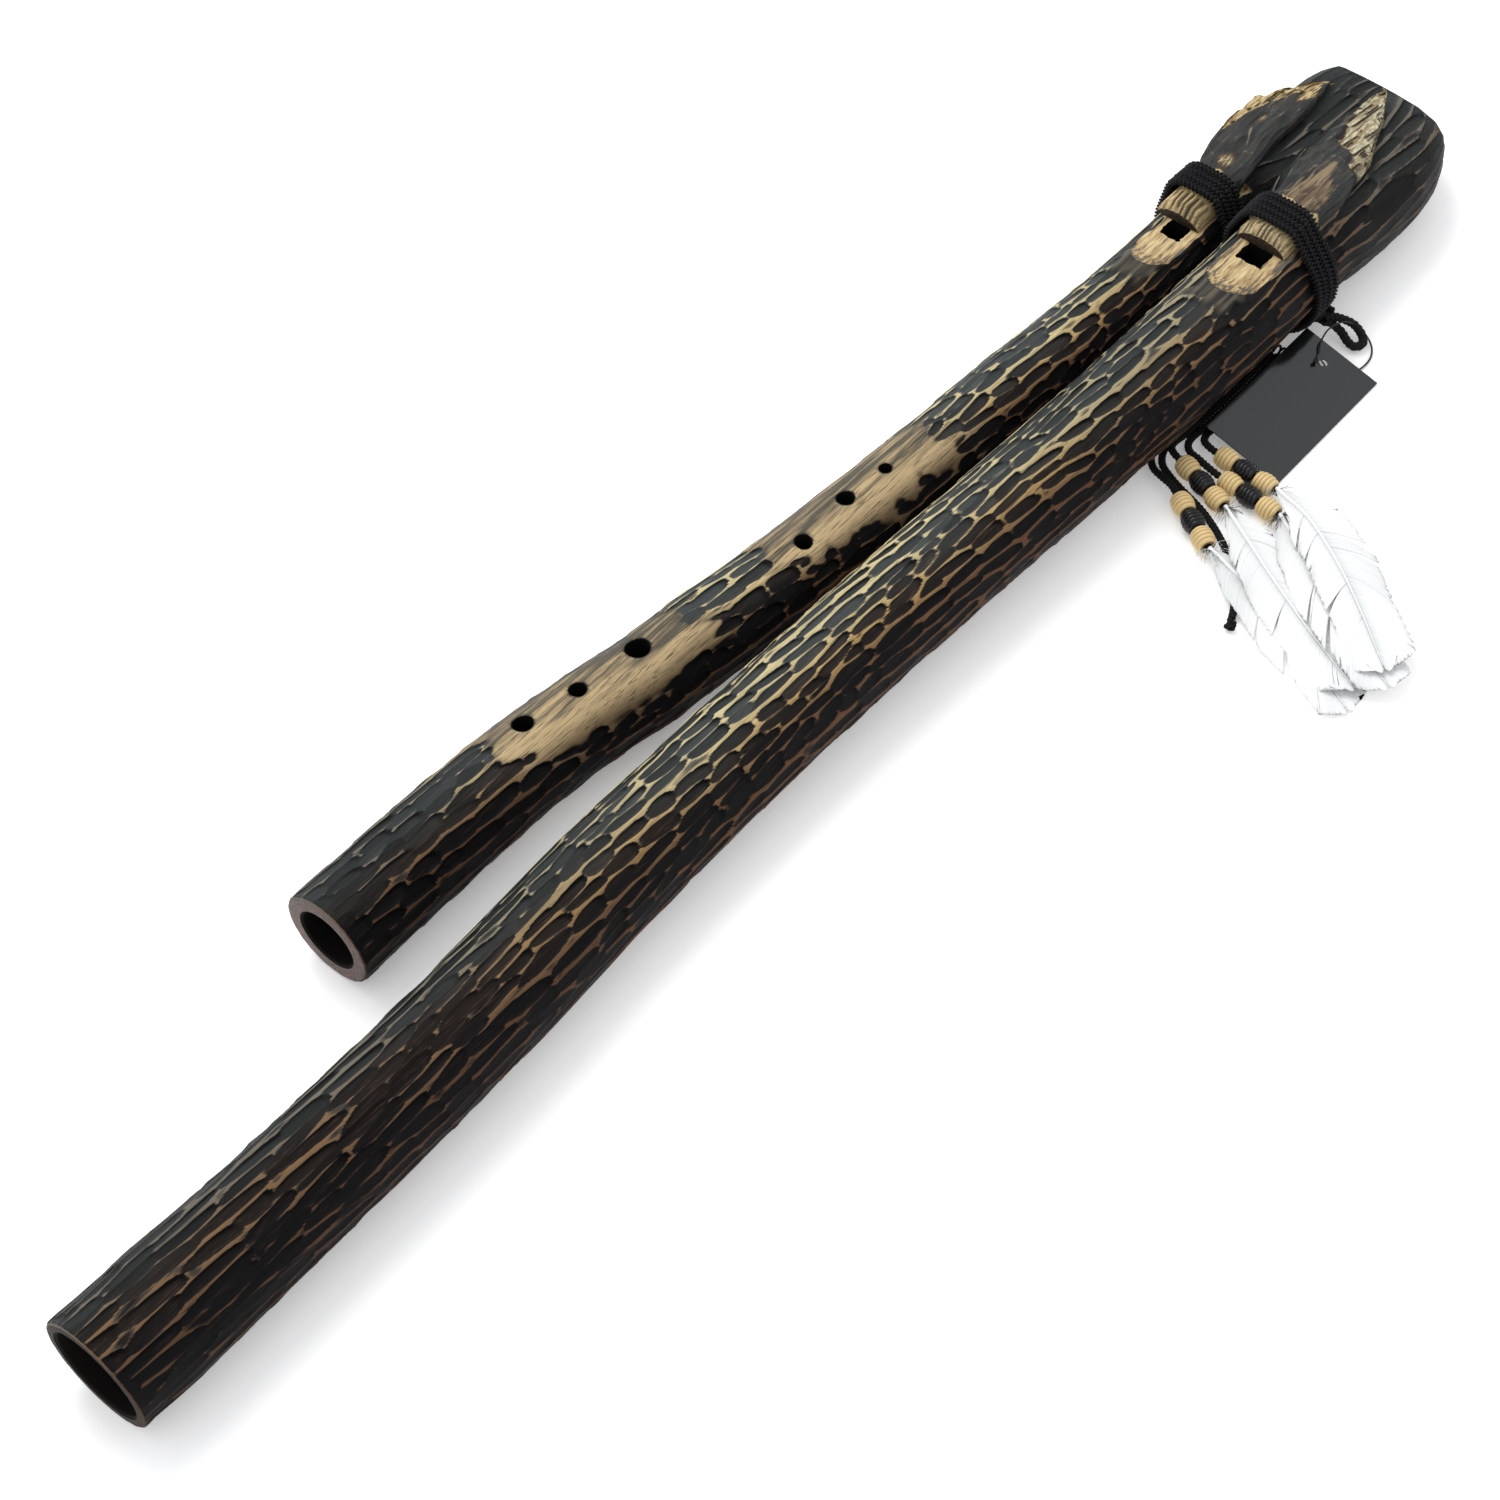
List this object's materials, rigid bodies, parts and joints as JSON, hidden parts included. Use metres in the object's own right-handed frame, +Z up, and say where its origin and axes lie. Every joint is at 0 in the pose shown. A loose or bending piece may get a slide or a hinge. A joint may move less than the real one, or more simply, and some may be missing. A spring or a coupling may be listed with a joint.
{
  "type": "double flute",
  "caption": "Double flute carved from two branches glued at the head: a fingered melody barrel beside a longer drone, tied blocks over the windows, and a lace tassel of beads and feathers.",
  "frame": {"origin": "On the table, below the middle of the box of the flute itself: barrels, blocks, ties and knot, without its free laces and what hangs on them.", "axes": "+X runs from the open feet to the mouth end, +Y from the drone barrel to the melody barrel, +Z up from the table, windows and finger holes facing up."},
  "size_m": [0.837, 0.2617, 0.064],
  "materials": {
    "carved_wood": "burnt and gouged branch, satin oiled, pale ridges between dark scoops",
    "block_wood": "raw split wood, pale carved lip, dark burnt flank",
    "black_lace": "braided black lace, matte with a slight wax sheen",
    "tag_thread": "thin black waxed thread",
    "tan_bead": "turned and ribbed, satin",
    "black_bead": "ribbed, polished black",
    "white_feather": "soft white barbs on a pale quill",
    "tag_card": "bare glossy laminated card"
  },
  "bodies": {
    "flute": {"drone_barrel_upper": "carved_wood", "drone_barrel_lower": "carved_wood", "melody_barrel_upper": "carved_wood", "melody_barrel_lower": "carved_wood", "drone_tie": "black_lace", "melody_tie": "black_lace", "tie_knot": "black_lace", "lace_loop": "black_lace", "tag_string": "tag_thread", "lace_end": "black_lace", "strand_a": "black_lace", "strand_b": "black_lace", "strand_c": "black_lace", "strand_d": "black_lace", "tassel_knot": "black_lace", "lace_end_knot": "black_lace", "string_knot": "tag_thread", "hang_tag": "tag_card", "bead_a1": "tan_bead", "bead_a2": "black_bead", "bead_a3": "tan_bead", "bead_b1": "tan_bead", "bead_b2": "black_bead", "bead_b3": "tan_bead", "bead_c1": "tan_bead", "bead_c2": "black_bead", "bead_c3": "tan_bead", "bead_d1": "tan_bead", "bead_d2": "black_bead", "bead_d3": "tan_bead", "feather_a": "white_feather", "feather_b": "white_feather", "feather_c": "white_feather", "feather_d": "white_feather"},
    "drone_block": {"drone_block": "block_wood"},
    "melody_block": {"melody_block": "block_wood"}
  },
  "joints": [
    {"name": "drone_block_slide", "type": "slide", "parent": "flute", "child": "drone_block", "axis": [1, 0, 0], "range_m": [-0.003, 0.003]},
    {"name": "melody_block_slide", "type": "slide", "parent": "flute", "child": "melody_block", "axis": [1, 0, 0], "range_m": [-0.003, 0.003]}
  ]
}
